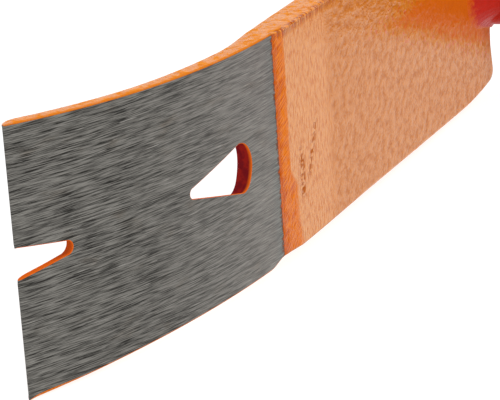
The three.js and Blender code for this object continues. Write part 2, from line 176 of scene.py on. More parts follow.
def bevel_length(z):
    """The bevel past the grinding runs out further towards the blade's lower edge."""
    lower = LOWER_BEVEL_GAIN * smooth((-z - LOWER_BEVEL_START) / LOWER_BEVEL_SPAN)
    edge = EDGE_BEVEL_GAIN * smooth((-z - EDGE_BEVEL_START) / EDGE_BEVEL_SPAN)
    return BEVEL_LENGTH + lower + edge


def blade_surface(s, z, depth):
    """Points of the bent blade: s along the front face, z across it and depth behind it."""
    start = -(BODY_DROP + GROUND_KINK)
    heading = start - CURVATURE * (GROUND_LENGTH - s)
    forward = np.array((math.cos(BODY_DROP), -math.sin(BODY_DROP)))
    up = np.array((math.sin(BODY_DROP), math.cos(BODY_DROP)))
    origin = forward * SHANK_DISTANCE - up * BEVEL_RISE
    ground = np.stack((
        origin[0] + (math.sin(start) - np.sin(heading)) / CURVATURE,
        origin[1] + (np.cos(heading) - math.cos(start)) / CURVATURE,
    ), 1)
    d = s - GROUND_LENGTH
    height = BEVEL_RISE * (np.clip(d / bevel_length(z), 0, 1) - 1)
    body = forward * (SHANK_DISTANCE - d)[:, None] + up * height[:, None]
    point = np.where((d < 0)[:, None], ground, body)
    lean = np.where(d < 0, heading, -BODY_DROP - GROUND_KINK * (1 - np.clip(d / LEAN_LENGTH, 0, 1)))
    normal = np.stack((-np.sin(lean), np.cos(lean)), 1)
    flat = point - normal * depth[:, None]
    return np.column_stack((flat, z))


# --- general mesh code ---

ROOT = "root"
SHARP = 32 * DEG  # edges that turn further than this stay sharp
MERGED = 0.002 * MM
VANISHING = 0.001 * MM
CORNER_SHARE = 0.49


def turn_outwards(mesh, merge):
    """Turns the faces outwards. With merge, points that share a place are joined first."""
    made = bmesh.new()
    made.from_mesh(mesh)
    if merge:
        bmesh.ops.remove_doubles(made, verts=made.verts, dist=MERGED)
        bmesh.ops.dissolve_degenerate(made, edges=made.edges, dist=VANISHING)
    bmesh.ops.recalc_face_normals(made, faces=made.faces)
    made.to_mesh(mesh)
    made.free()


def make_mesh(name, points, faces, material, replaced, sharp=SHARP, merge=False):
    """Makes a piece from millimetre points in the tool's own frame, and hangs it on the frame."""
    mesh = bpy.data.meshes.new(name)
    mesh.from_pydata((HEEL + np.asarray(points) * MM).tolist(), [], faces)
    mesh.validate()
    mesh.update()
    piece = bpy.data.objects.new(name, mesh)
    bpy.context.scene.collection.objects.link(piece)
    mesh.materials.append(material)
    mesh.shade_smooth()
    mesh.set_sharp_from_angle(angle=sharp)
    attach(piece, ROOT)
    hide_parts(*replaced)
    turn_outwards(mesh, merge)
    return mesh


def set_attribute(mesh, name, values):
    """Gives each point of a mesh a number for its material to read."""
    made = mesh.attributes.new(name, "FLOAT", "POINT")
    made.data.foreach_set("value", np.asarray(values, np.float32))


def circle(count):
    """Sine and cosine of even steps round a circle."""
    turns = [2 * math.pi * k / count for k in range(count)]
    return [(math.sin(turn), math.cos(turn)) for turn in turns]


def strips(rings, size, closed=False):
    """Quads from each ring of size points to the next, and from the last to the first if closed."""
    faces = []
    for i in range(rings if closed else rings - 1):
        near, far = i * size, (i + 1) % rings * size
        for k in range(size):
            j = (k + 1) % size
            faces.append((near + k, near + j, far + j, far + k))
    return faces


def ends(rings, size):
    """The faces that close the first ring and the last."""
    return [tuple(range(size - 1, -1, -1)), tuple((rings - 1) * size + k for k in range(size))]


def curve(a, handle, b, steps):
    """Points along a curve from a towards its handle and round to b, without the last one."""
    t = np.arange(steps)[:, None] / steps
    made = (1 - t) ** 2 * np.array(a) + 2 * t * (1 - t) * np.array(handle) + t**2 * np.array(b)
    return [tuple(p) for p in made]


def rounded(outline, steps=5):
    """Outline of (x, y, corner radius) with each corner turned into a curve, that takes up no more than
    CORNER_SHARE of a side."""
    made = []
    for i, (x, y, radius) in enumerate(outline):
        here = np.array((x, y), float)
        if radius <= 0:
            made.append(here)
            continue
        sides = [np.array(outline[k % len(outline)][:2], float) - here for k in (i - 1, i + 1)]
        lengths = [np.linalg.norm(side) for side in sides]
        reach = min(radius, CORNER_SHARE * lengths[0], CORNER_SHARE * lengths[1])
        a, b = (here + side / length * reach for side, length in zip(sides, lengths, strict=True))
        made += curve(a, here, b, steps) + [b]
    return made


def lathe(name, outline, material, replaced, segments=160):
    """Closed outline of (radius, along) turned about the shank's axis."""
    points = [(r * sine, along, r * cosine) for sine, cosine in circle(segments) for r, along in outline]
    faces = strips(segments, len(outline), closed=True)
    make_mesh(name, points, faces, material, replaced, merge=True)


# --- node materials ---


class Shader:
    """A node material that is written as nested calls, each returning an output socket. Lengths are in
    millimetres."""

    def __init__(self, name, **uniform):
        self.material = bpy.data.materials.new(name)
        self.material.use_nodes = True
        self.tree = self.material.node_tree
        self.surface = self.tree.nodes["Principled BSDF"]
        for key, value in uniform.items():
            self.surface.inputs[key.replace("_", " ")].default_value = value

    def make(self, kind, inputs, **settings):
        made = self.tree.nodes.new(kind)
        for key, value in settings.items():
            setattr(made, key, value)
        for key, value in inputs.items():
            if isinstance(value, bpy.types.NodeSocket):
                self.tree.links.new(value, made.inputs[key])
            else:
                made.inputs[key].default_value = value
        return made

    def math(self, operation, a, b=0.0):
        return self.make("ShaderNodeMath", {0: a, 1: b}, operation=operation).outputs[0]

    def fold(self, operation, first, others):
        for other in others:
            first = self.math(operation, first, other)
        return first

    def plus(self, first, *others):
        return self.fold("ADD", first, others)

    def minus(self, first, *others):
        return self.fold("SUBTRACT", first, others)

    def times(self, first, *others):
        return self.fold("MULTIPLY", first, others)

    def largest(self, first, *others):
        return self.fold("MAXIMUM", first, others)

    def over(self, a, b):
        return self.math("DIVIDE", a, b)

    def magnitude(self, value):
        return self.math("ABSOLUTE", value)

    def attribute(self, name):
        return self.make("ShaderNodeAttribute", {}, attribute_name=name).outputs["Fac"]

    def vector(self, x, y, z):
        return self.make("ShaderNodeCombineXYZ", {0: x, 1: y, 2: z}).outputs[0]

    def position(self):
        """Position in the object's own frame."""
        return self.scaled(self.make("ShaderNodeTexCoord", {}).outputs["Object"], 1 / MM)

    def noise(self, vector, scale=1.0, detail=2.0, roughness=0.5):
        return self.make("ShaderNodeTexNoise", {
            "Vector": vector, "Scale": scale, "Detail": detail, "Roughness": roughness,
        }).outputs["Fac"]

    def stretched(self, u, v, lengths, seed, detail=2.0, roughness=0.6):
        """Noise drawn out along a surface's own u and v, over a length for each."""
        place = self.vector(self.over(u, lengths[0]), self.over(v, lengths[1]), seed)
        return self.noise(place, 1.0, detail, roughness)

    def slanted(self, u, v, slope):
        """The v of a lane that climbs by slope along u."""
        return self.minus(v, self.times(u, slope))

    def spread(self, *layers):
        """Sum of noises about their mean of one half, each with its own weight."""
        total = 0.5
        for value, weight in layers:
            total = self.plus(self.times(self.minus(value, 0.5), weight), total)
        return total

    def between(self, value, low, high, to_low=0.0, to_high=1.0, kind="SMOOTHSTEP"):
        return self.make("ShaderNodeMapRange", {
            "Value": value, "From Min": low, "From Max": high, "To Min": to_low, "To Max": to_high,
        }, interpolation_type=kind).outputs["Result"]

    def mix(self, share, a, b, blend="MIX"):
        a, b = (value if isinstance(value, bpy.types.NodeSocket) else (*value, 1) for value in (a, b))
        made = self.make("ShaderNodeMix", {}, data_type="RGBA", blend_type=blend)
        for index, value in {0: share, 6: a, 7: b}.items():
            if isinstance(value, bpy.types.NodeSocket):
                self.tree.links.new(value, made.inputs[index])
            else:
                made.inputs[index].default_value = value
        return made.outputs[2]

    def tinted(self, share, color, tint):
        return self.mix(share, color, self.mix(1.0, color, tint, "MULTIPLY"))

    def scaled(self, vector, gain):
        return self.make("ShaderNodeVectorMath", {0: vector, "Scale": gain}, operation="SCALE").outputs[0]

    def mix_value(self, share, a, b):
        return self.make("ShaderNodeMix", {0: share, 2: a, 3: b}, data_type="FLOAT").outputs[0]

    def bump(self, height, depth):
        return self.make("ShaderNodeBump", {"Height": height, "Distance": depth * MM}).outputs["Normal"]

    def finish(self, **links):
        for key, value in links.items():
            self.tree.links.new(value, self.surface.inputs[key.replace("_", " ")])
        return self.material


STEEL_DARK = (0.020, 0.019, 0.017)
STEEL_LIGHT = (0.224, 0.215, 0.196)
STEEL_BRIGHT = (0.36, 0.345, 0.32)
STEEL_TINT = (0.70, 0.58, 0.47)
STEEL_COOL = (0.86, 0.97, 1.0)
ORANGE = (0.535, 0.170, 0.008)
ORANGE_DARK = (0.40, 0.105, 0.003)
ORANGE_PALE = (0.62, 0.235, 0.045)
BAND_DARK = (0.50, 0.14, 0.012)
BEVEL_ORANGE = (0.68, 0.175, 0.010)
BEVEL_DARK = (0.44, 0.070, 0.003)
BORDER_BROWN = (0.13, 0.035, 0.008)
SIDE_ORANGE = (0.80, 0.28, 0.040)
SIDE_DARK = (0.66, 0.18, 0.014)
STRIP_ORANGE = (0.62, 0.16, 0.010)
# painted reflection and shade: the deeper orange round the weld on the blade stands in for the shank's
# reflection and shade
HALO_SHADE_ORANGE = (0.51, 0.086, 0.004)
RIM_ORANGE = (0.66, 0.12, 0.010)
# painted shade: the dark reds deep in the slot and the notch stand in for shade and inter-reflection in the
# cut
RECESS_SHADE_RED = (0.27, 0.014, 0.011)
RECESS_SHADE_DARK = (0.17, 0.009, 0.012)
PIT_BROWN = (0.30, 0.050, 0.004)
# painted shade: the deeper red of the shank and weld stands in for the orange paint in shade and
# inter-reflection
RED = (0.455, 0.018, 0.009)
RED_DARK = (0.41, 0.017, 0.008)

BAND_END = 22.5  # of the lighter band past the bevel; its streaks are real and its paleness is partly a painted sheen
BRIM = 19.3  # height on the face above which the shears' tick marks show
BRIM_CLIMB = 0.0072
HALO_SIZE = 12.3  # half width of the painted reflection and shade round the weld
HALO_SLANT = 0.13
HALO_TAPER = 0.22
PIT_ROW = 7.9  # where the first row of pits lies past the grinding
PIT_BRANCH = 14.4
PIT_BRANCH_SLOPE = 0.45


def ground_steel():
    """Bare steel ground along the blade: dense fine scratches, a few bright ones, over a broad mottle. The
    paint creeps a little over the end of the grinding."""
    shader = Shader("ground_steel", Metallic=1.0)
    between, mix, stretched = shader.between, shader.mix, shader.stretched
    along, across = shader.attribute("along"), shader.attribute("across")
    wander = stretched(along, across, (26.0, 12.0), 0.0)
    lane = shader.plus(shader.slanted(along, across, -0.018), shader.times(wander, 0.6))
    broad = stretched(along, lane, (12.0, 0.8), 1.3)
    coarse = stretched(along, lane, (8.0, 0.2), 4.1, 1.0)
    fine = stretched(along, lane, (4.2, 0.15), 7.7, 3.0)
    sparse = stretched(along, lane, (4.5, 0.22), 12.9, 1.0)
    mottle = stretched(along, across, (9.0, 6.0), 2.2, 3.0)
    tone = shader.spread((broad, 0.3), (coarse, 0.8), (fine, 3.6), (mottle, 0.25))
    color = mix(between(tone, 0.0, 1.0, kind="LINEAR"), STEEL_DARK, STEEL_LIGHT)
    color = mix(between(sparse, 0.66, 0.76, 0.0, 0.7), color, STEEL_BRIGHT)
    # painted reflection: the steel is made lighter towards the end of the grinding, where it reflects
    # brighter surroundings
    color = mix(between(along, 20.0, GROUND_LENGTH, 0.0, 0.2), color, STEEL_BRIGHT)
    color = shader.scaled(color, between(along, 24.0, GROUND_LENGTH, 1.02, 1.13))
    stain = stretched(along, across, (9.0, 4.0), 21.0, 3.0)
    color = shader.tinted(between(stain, 0.55, 0.8, 0.0, 0.5), color, STEEL_TINT)
    cool = between(along, GROUND_LENGTH - 4.0, GROUND_LENGTH - 0.5, 0.0, 0.6)
    color = shader.tinted(cool, color, STEEL_COOL)

    nibble = stretched(along, across, (1.6, 0.9), 31.0, 3.0)
    reach = shader.plus(along, shader.times(nibble, 3.4))
    # a jagged dark brown line along the end of the grinding
    dark_border = between(reach, GROUND_LENGTH + 1.15, GROUND_LENGTH + 1.6, 0.0, 0.85)
    color = mix(dark_border, color, BORDER_BROWN)
    crept = between(reach, GROUND_LENGTH + 1.75, GROUND_LENGTH + 1.9)
    color = mix(crept, color, BEVEL_DARK)
    height = shader.spread((broad, 0.5), (coarse, 0.6), (fine, 0.5))
    rough = between(fine, 0.3, 0.7, 0.36, 0.55)
    return shader.finish(Base_Color=color, Roughness=rough, Normal=shader.bump(height, 0.03))


def weld_shade_halo(shader, past, along, across, wobble):
    """Shares of the painted reflection and shade round the weld: a deeper orange, and a loss of sheen that
    stands in for the shank's dark reflection. Both break up into blobs at their edge.
    """
    between, minus, times = shader.between, shader.minus, shader.times
    ahead = minus(SHANK_DISTANCE, past)
    spine = shader.magnitude(shader.slanted(ahead, across, HALO_SLANT))
    reach = shader.plus(spine, times(ahead, HALO_TAPER), times(wobble, 4.0))
    beads = shader.stretched(along, across, (1.3, 1.5), 17.0, 1.0)
    clumped = shader.plus(reach, times(minus(beads, 0.5), 9.0))
    solid = between(clumped, HALO_SIZE, HALO_SIZE + 4.0, 1.0, 0.0)
    beaded = times(
        between(beads, 0.54, 0.66), between(reach, HALO_SIZE - 1.3, HALO_SIZE + 1.7),
        between(reach, HALO_SIZE + 4.2, HALO_SIZE + 7.7, 1.0, 0.0),
    )
    shank_reflection = between(clumped, HALO_SIZE + 2.2, HALO_SIZE + 7.7, 1.0, 0.0)
    return shader.largest(solid, beaded), shank_reflection


def pit_rows(shader, past, across):
    """Share of the two rows of pits in the paint's band, the second leaning away from the first."""
    between, times = shader.between, shader.times
    row = shader.magnitude(shader.minus(past, PIT_ROW))
    row = times(between(row, 0.4, 1.8, 1.0, 0.0), between(across, -0.5, -3.5), between(across, -12.5, -10.0))
    branch = shader.magnitude(shader.minus(shader.slanted(across, past, PIT_BRANCH_SLOPE), PIT_BRANCH))
    branch = times(
        between(branch, 0.3, 1.7, 0.85, 0.0), between(across, 3.0, -1.0), between(across, -9.5, -7.0)
    )
    return shader.largest(row, branch)


def blade_paint():
    """Powder paint on the blade. It follows what is under it: the ground bevel, the band past it, the
    sheared sides, the punched walls of the slots and the plain body with its orange peel. Light and shade
    are painted in as well: shade on the walls of the slot and the notch, the shank's reflection and shade
    round the weld, a sheen in the paler band and on the paler sides, and shade in the hollows of the peel."""
    shader = Shader("blade_paint", IOR=1.5)
    between, mix, minus, plus = shader.between, shader.mix, shader.minus, shader.plus
    stretched, times = shader.stretched, shader.times
    names = ("along", "across", "depth", "recess_shade", "cut", "side", "bevel")
    along, across, depth, recess_shade, cut, side, bevel = (shader.attribute(name) for name in names)
    past = minus(along, GROUND_LENGTH)
    front = times(minus(1.0, side), between(depth, 1.3, 1.9, 1.0, 0.0))
    wobble = stretched(along, across, (5.0, 3.0), 0.0, 3.0)
    ragged = plus(bevel, times(wobble, 0.2))
    over_bevel = times(between(ragged, 0.95, 1.25, 1.0, 0.0), front)
    band = between(plus(past, times(wobble, 5.0)), BAND_END - 1.5, BAND_END + 4.5, 1.0, 0.0)
    band = times(band, front)
    # painted reflection and shade: a deeper orange and a lost sheen round the weld stand in for the shank's
    # reflection
    shade_halo, shank_reflection = (times(share, front) for share in weld_shade_halo(shader, past, along, across, wobble))
    specks = stretched(along, across, (0.95, 0.7), 5.5, 0.0)
    pits = times(between(specks, 0.48, 0.56), pit_rows(shader, past, across), front)

    place = shader.vector(along, across, depth)
    peel = shader.noise(shader.vector(times(along, 0.8), across, depth), 0.62, 2.0, 0.6)
    grain = shader.noise(place, 2.6)
    drag = stretched(shader.slanted(across, along, 0.04), across, (0.5, 1.8), 4.0)
    scratches = stretched(along, shader.slanted(along, across, 0.8), (2.2, 0.2), 2.0, 1.0)
    sheared = plus(along, times(shader.math("POWER", shader.magnitude(depth), 1.6), 0.3))
    arcs = stretched(sheared, depth, (0.30, 5.0), 9.0, 1.0)
    ticks = stretched(sheared, depth, (0.62, 1.6), 15.0, 1.0)

    # the peel's mottle is darker where the peel is low: partly thin and thick paint, partly painted shade in
    # its hollows
    peel_tone = shader.spread((peel, 3.2), (grain, 1.6))
    color = mix(between(peel_tone, -0.35, 0.85, kind="LINEAR"), ORANGE_DARK, ORANGE)
    color = mix(times(shade_halo, 0.82), color, HALO_SHADE_ORANGE)
    # the band past the bevel is paler: its streaks are real, and its paleness is partly a painted sheen
    color = mix(band, color, mix(between(drag, 0.34, 0.58), BAND_DARK, ORANGE_PALE))
    streaked = plus(scratches, between(bevel, 0.0, 0.6, -0.12, 0.03))
    color = mix(over_bevel, color, mix(between(streaked, 0.34, 0.6), BEVEL_DARK, BEVEL_ORANGE))
    strip = times(between(depth, 0.2, 0.5, 0.8, 0.0), between(past, -0.5, 0.5, 1.0, 0.0))
    # the sheared sides are paler than the face: their arcs are real, and the paleness is partly a painted
    # highlight
    side_tone = mix(strip, mix(between(arcs, 0.36, 0.58), SIDE_DARK, SIDE_ORANGE), STRIP_ORANGE)
    color = mix(side, color, side_tone)
    below_brim = minus(times(past, BRIM_CLIMB), minus(across, BRIM))
    brim = times(between(below_brim, -0.7, 0.3, 1.0, 0.0), front)
    crease = times(between(depth, 0.3, 1.1, 1.0, 0.0), side)
    ticked = times(
        between(ticks, 0.47, 0.57), shader.largest(brim, crease),
        between(past, -1.0, 1.0), between(past, 22.0, 38.0, 1.0, 0.25),
    )
    color = mix(ticked, color, BEVEL_DARK)
    patches = between(shader.noise(place, 0.55), 0.4, 0.6)
    # painted shade: the walls of the slot and the notch go from the lighter rim to dark reds deeper in the
    # cut
    color = mix(cut, color, mix(recess_shade, RIM_ORANGE, mix(patches, RECESS_SHADE_DARK, RECESS_SHADE_RED)))
    color = mix(times(pits, 0.65), color, PIT_BROWN)

    sheen = times(between(peel_tone, 0.0, 0.9, 0.14, 0.46), between(past, 50.0, 112.0, 1.0, 0.62))
    sheen = shader.mix_value(band, sheen, between(drag, 0.34, 0.6, 0.22, 0.46))
    # painted reflection: the sheen is taken away round the weld, where the shank's dark reflection would
    # fall
    sheen = times(sheen, minus(1.0, times(shank_reflection, 0.93)))
    for layer, loss in ((over_bevel, 0.2), (side, 0.2), (pits, 0.35), (strip, 0.2), (cut, 0.45)):
        sheen = minus(sheen, times(layer, loss))
    plain = minus(1.0, shader.largest(band, over_bevel, side))
    height = plus(
        times(peel, between(plain, 0.0, 1.0, 0.2, 1.0)), times(grain, 0.3),
        times(drag, between(band, 0.0, 1.0, 0.1, 0.6)), times(scratches, over_bevel, 0.35),
        times(arcs, side, 0.5),
    )
    height = minus(height, ticked, times(pits, 0.5))
    return shader.finish(
        Base_Color=color, Roughness=between(grain, 0.3, 0.7, 0.17, 0.26),
        Normal=shader.bump(height, 0.22), Specular_IOR_Level=shader.largest(sheen, 0.0),
    )


def bar_paint_and_shade():
    """Paint on the round shank and its weld, in a deeper red that is painted shade over the whole bar: it
    stands in for the orange paint in shade and in its own inter-reflection at the foot. It turns orange at
    the weld's toe, a painted shading across the fillet.
    """
    shader = Shader("bar_paint_and_shade", IOR=1.5, Specular_IOR_Level=0.04)
    place = shader.position()
    peel = shader.noise(place, 1.1, 3.0, 0.55)
    grain = shader.noise(place, 4.0)
    # painted shade: the bar's red stands in for the orange paint in shade and inter-reflection
    color = shader.mix(shader.between(peel, 0.35, 0.7), RED_DARK, RED)
    toe = shader.plus(shader.attribute("toe"), shader.times(shader.minus(peel, 0.5), 0.5))
    # painted shading across the fillet: the red turns to the blade's deeper orange at the weld's toe
    color = shader.mix(shader.between(toe, 0.72, 1.0), color, HALO_SHADE_ORANGE)
    height = shader.plus(peel, shader.times(grain, 0.25))
    rough = shader.between(grain, 0.3, 0.7, 0.24, 0.36)
    return shader.finish(Base_Color=color, Roughness=rough, Normal=shader.bump(height, 0.09))


def turned_steel(name, tone, roughness, ring=0.35):
    """Steel turned on a lathe: fine rings about the shank's axis, with faint stains."""
    shader = Shader(name, Metallic=1.0)
    place = shader.position()
    split = shader.make("ShaderNodeSeparateXYZ", {"Vector": place})
    x = shader.minus(split.outputs["X"], HEEL[0] / MM)
    z = shader.minus(split.outputs["Z"], HEEL[2] / MM)
    radius = shader.math("SQRT", shader.plus(shader.times(x, x), shader.times(z, z)))
    lane = shader.vector(shader.over(radius, ring), shader.over(split.outputs["Y"], ring), 0.0)
    rings = shader.noise(lane)
    stain = shader.noise(place, 0.16, 4.0, 0.6)
    dark = tuple(c * 0.55 for c in tone)
    color = shader.mix(shader.between(stain, 0.35, 0.7), dark, tone)
    color = shader.mix(shader.times(rings, 0.35), color, dark)
    rough = shader.between(stain, 0.3, 0.7, roughness + 0.12, roughness - 0.06)
    return shader.finish(Base_Color=color, Roughness=rough, Normal=shader.bump(rings, 0.02))


def moulded(name, tone, roughness, grain_size, grain_depth):
    """Moulded plastic or rubber with a fine spark-eroded grain and slightly greyer worn patches."""
    shader = Shader(name, IOR=1.48)
    place = shader.position()
    grain = shader.noise(place, 1 / grain_size, 3.0, 0.6)
    wear = shader.noise(place, 0.09, 4.0, 0.65)
    pale = tuple(min(1.0, c * 1.35 + 0.012) for c in tone)
    color = shader.mix(shader.between(wear, 0.45, 0.75), tone, pale)
    rough = shader.between(wear, 0.3, 0.75, roughness + 0.06, roughness - 0.08)
    return shader.finish(Base_Color=color, Roughness=rough, Normal=shader.bump(grain, grain_depth))


# --- blade ---


def spaced(a, b, step=OUTLINE_STEP):
    """Even parameters from a to b, without b."""
    count = max(1, round(abs(b - a) / step))
    return [a + (b - a) * i / count for i in range(count)]


def straight(a, b):
    """Points along a line, without the last one."""
    a, b = np.array(a), np.array(b)
    count = max(1, round(math.dist(a, b) / LINE_STEP))
    return [tuple(a + (b - a) * i / count) for i in range(count)]


def arc(centre, radii, start, end, steps):
    """Points of an elliptical arc, without the last one."""
    made = []
    for i in range(steps):
        angle = start + (end - start) * i / steps
        made.append((centre[0] + radii[0] * math.cos(angle), centre[1] + radii[1] * math.sin(angle)))
    return made


def half_outline(step):
    """One edge of the blade in its own flat plane, from the cutting edge to the tang's end. The share
    step of the lower edge's narrowing is taken off."""
    stations = spaced(0.0, 3.0, TIP_STEP) + spaced(3.0, GROUND_LENGTH)
    points = [(s, ground_half_width(s) - step * lower_step(s)) for s in stations]
    rounding_start = GROUND_LENGTH + SHOULDER_DISTANCE - SHOULDER_LENGTH
    stations = spaced(GROUND_LENGTH, rounding_start)
    points += [(s, body_half_width(s) - step * lower_step(s)) for s in stations]
    top = body_half_width(rounding_start) - step * lower_step(rounding_start)
    corner = GROUND_LENGTH + SHOULDER_DISTANCE
    turn = (corner - SHOULDER_CORNER, top - SHOULDER_DROP)
    middle = (rounding_start + turn[0]) / 2
    slope = SHOULDER_DROP / (turn[0] - middle)
    below = (corner, turn[1] - SHOULDER_CORNER)
    points += curve((rounding_start, top), (middle, top), turn, 24)
    points += curve(turn, (corner, turn[1] - slope * SHOULDER_CORNER), below, 8)
    tang = TANG_WIDTH / 2
    low = tang + TANG_FILLET
    waist = corner - SHOULDER_WAIST
    points += straight(below, (waist, SHOULDER_WAIST_HALF))
    points += straight((waist, SHOULDER_WAIST_HALF), (waist, low))
    points += arc((waist + TANG_FILLET, low), (TANG_FILLET, TANG_FILLET), 180 * DEG, 270 * DEG, 6)
    end = GROUND_LENGTH + TANG_END
    return points + [(s, tang) for s in spaced(waist + TANG_FILLET, end)]


def notch_outline():
    """V notch from the lower side of its mouth, round its root, to the upper side."""
    root = NOTCH_DEPTH - NOTCH_ROOT_RADIUS
    flank = [
        (s, -(NOTCH_HALF_MOUTH + (NOTCH_ROOT_RADIUS - NOTCH_HALF_MOUTH) * s / root))
        for s in spaced(0.0, root, LINE_STEP)
    ]
    turn = arc((root, 0.0), (NOTCH_ROOT_RADIUS, NOTCH_ROOT_RADIUS), -90 * DEG, 90 * DEG, 14)
    back = [(s, -z) for s, z in reversed(flank)]
    return [(s, z + NOTCH_OFFSET) for s, z in flank + turn + [(root, NOTCH_ROOT_RADIUS)] + back]


def outer_loop():
    """Whole outline of the flat blade, clockwise seen with s to the right and z up."""
    upper = half_outline(0.0)
    end = GROUND_LENGTH + TANG_END
    tang = TANG_WIDTH / 2
    heel = [(end, z) for z in spaced(tang, -tang)]
    lower = [(s, -z) for s, z in reversed(half_outline(1.0)[1:])]
    tip = TIP_WIDTH / 2
    edge_low = [(0.0, z) for z in spaced(-tip, NOTCH_OFFSET - NOTCH_HALF_MOUTH)]
    edge_high = [(0.0, z) for z in spaced(NOTCH_OFFSET + NOTCH_HALF_MOUTH, tip)][1:]
    return upper + heel + [(end, -tang)] + lower + edge_low + notch_outline() + edge_high


def slot_loop():
    """Keyhole slot, anticlockwise: narrow towards the cutting edge, with a bulged far end."""
    narrow = SLOT_START + SLOT_NARROW_RADIUS
    wide = SLOT_END - SLOT_BULGE
    low, high = -SLOT_HALF_WIDTH, SLOT_HALF_WIDTH
    handle = SLOT_BULGE / (0.5 + (SLOT_UPPER_CORNER + SLOT_LOWER_CORNER) / SLOT_HALF_WIDTH / 4)
    upper = (wide + handle * SLOT_UPPER_CORNER / SLOT_HALF_WIDTH, high - SLOT_UPPER_CORNER)
    lower = (wide + handle * SLOT_LOWER_CORNER / SLOT_HALF_WIDTH, low + SLOT_LOWER_CORNER)
    low_turn, high_turn = (wide - SLOT_LOWER_CORNER, low), (wide - SLOT_UPPER_CORNER, high)
    shape = arc((narrow, 0.0), (SLOT_NARROW_RADIUS, SLOT_NARROW_RADIUS), 90 * DEG, 270 * DEG, 12)
    shape += straight((narrow, -SLOT_NARROW_RADIUS), low_turn)
    shape += curve(low_turn, (wide, low), lower, 8)
    shape += curve(lower, (wide + handle, 0.0), upper, 22)
    shape += curve(upper, (wide, high), high_turn, 10)
    shape += straight(high_turn, (narrow, SLOT_NARROW_RADIUS))
    return [(s, z + SLOT_OFFSET) for s, z in shape]


def side_numbers(loops):
    """The numbers of each side's two points, counted through all the loops."""
    start = 0
    for loop in loops:
        yield from ((start + k, start + (k + 1) % len(loop)) for k in range(len(loop)))
        start += len(loop)


def sides_of(loops):
    corners = np.concatenate(loops)
    return [(corners[a], corners[b]) for a, b in side_numbers(loops)]


def inward(loop):
    """Unit-offset vectors that point into the material, for a loop with the material on its left."""
    points = np.array(loop)
    ahead = np.roll(points, -1, 0) - points
    ahead /= np.linalg.norm(ahead, axis=1)[:, None]
    left = np.column_stack((-ahead[:, 1], ahead[:, 0]))
    before = np.roll(left, 1, 0)
    both = left + before
    return both / np.maximum(1 + np.sum(left * before, 1), 0.35)[:, None]


LIP_STEPS, WALL_STEPS = 5, 5


def rim_profile(front, back, bulge, taper, thick):
    """Rows of (offset into the material, depth) from the front face's edge round to the back's."""
    turns = [90 * DEG * i / LIP_STEPS for i in range(LIP_STEPS + 1)]
    wall = [i / WALL_STEPS for i in range(1, WALL_STEPS)]
    rows = [(front * (1 - math.sin(t)), front * (1 - math.cos(t))) for t in turns]
    rows += [(np.zeros_like(front), front + (thick - front - back) * share) for share in wall]
    rows += [(back * (1 - math.sin(t)), thick - back * (1 - math.cos(t))) for t in reversed(turns)]
    swollen = []
    for offset, depth in rows:
        share = np.clip(depth / thick, 0, 1)
        swollen.append((offset - bulge * np.sin(math.pi * share) + taper * share, depth))
    return swollen


def inside(points, loops):
    """Which points lie in the material, by crossings with every side."""
    flags = np.zeros(len(points), bool)
    for (x0, y0), (x1, y1) in sides_of(loops):
        if y0 != y1:
            spans = (points[:, 1] < y0) != (points[:, 1] < y1)
            cross = x0 + (points[:, 1] - y0) * (x1 - x0) / (y1 - y0)
            flags ^= spans & (points[:, 0] < cross)
    return flags


def clear_of(points, loops, distance):
    """Which points are further than distance from every side."""
    near = np.zeros(len(points), bool)
    for p, q in sides_of(loops):
        d = q - p
        t = np.clip(((points - p) @ d) / (d @ d), 0, 1)
        near |= np.linalg.norm(points - p - t[:, None] * d, axis=1) < distance
    return ~near


def face_grid(loops):
    """Grid points of a face, with a row exactly on the line where the grinding ends."""
    ground = np.arange(0, GROUND_LENGTH - GRID / 2, GRID)
    bevel = GROUND_LENGTH + np.arange(0, BEVEL_LENGTH * 2, BEVEL_LENGTH / BEVEL_ROWS)
    body = np.arange(bevel[-1] + GRID, GROUND_LENGTH + TANG_END, GRID)
    s = np.concatenate((ground, bevel, body))
    z = np.arange(-TIP_WIDTH / 2, TIP_WIDTH / 2, GRID) + GRID / 2
    points = np.array([(a, b) for a in s for b in z])
    points = points[inside(points, loops)]
    return points[clear_of(points, loops, GRID * 0.45)]


def triangulate(loops):
    """Triangles over the loops' inside. Returns the grid points used and the triangles, whose corners
    count the loops' points first and then the grid's."""
    grid = face_grid(loops)
    points = [Vector(p) for p in np.concatenate((*loops, grid))]
    verts, _, faces, origin, _, _ = delaunay_2d_cdt(points, list(side_numbers(loops)), [], 0, 1e-7)
    source = [o[0] if o else -1 for o in origin]
    centres = np.array([np.mean([verts[i] for i in f], 0) for f in faces])
    kept = inside(centres, loops)
    triangles = [tuple(source[i] for i in f) for f, keep in zip(faces, kept) if keep]
    assert all(i >= 0 for t in triangles for i in t), "the outline crosses itself"
    return grid, triangles


CUT_LIP = 0.16  # rounding of the front edge, round the slot and the notch
TIP_LIP = 0.1
SIDE_LIP = 0.2
BODY_LIP_GAIN = 0.15
SHOULDER_LIP_GAIN, SHOULDER_LIP_START, SHOULDER_LIP_LENGTH = 0.45, 12.0, 30.0
WORN_CORNER = 0.3  # more rounding on the lower side near the cutting edge
BACK_CUT_LIP = 0.3
BACK_LIP = 0.5
BACK_LIP_GAIN = 0.3
ROOT_START, ROOT_LENGTH = 6.0, 5.0  # where the notch's flanks turn into its root
NOTCH_ROOT_SHADE = 0.45  # share of painted shade, a deeper red, at the notch's root
LIT_RIM_SHARE = 0.36  # part of the slot's wall, from the front, that keeps the lighter rim; the rest gets painted shade
ON_EDGE = 1e-6  # how near a point must be to the cutting edge, or to the notch, to count as on it
ON_NOTCH = 0.1


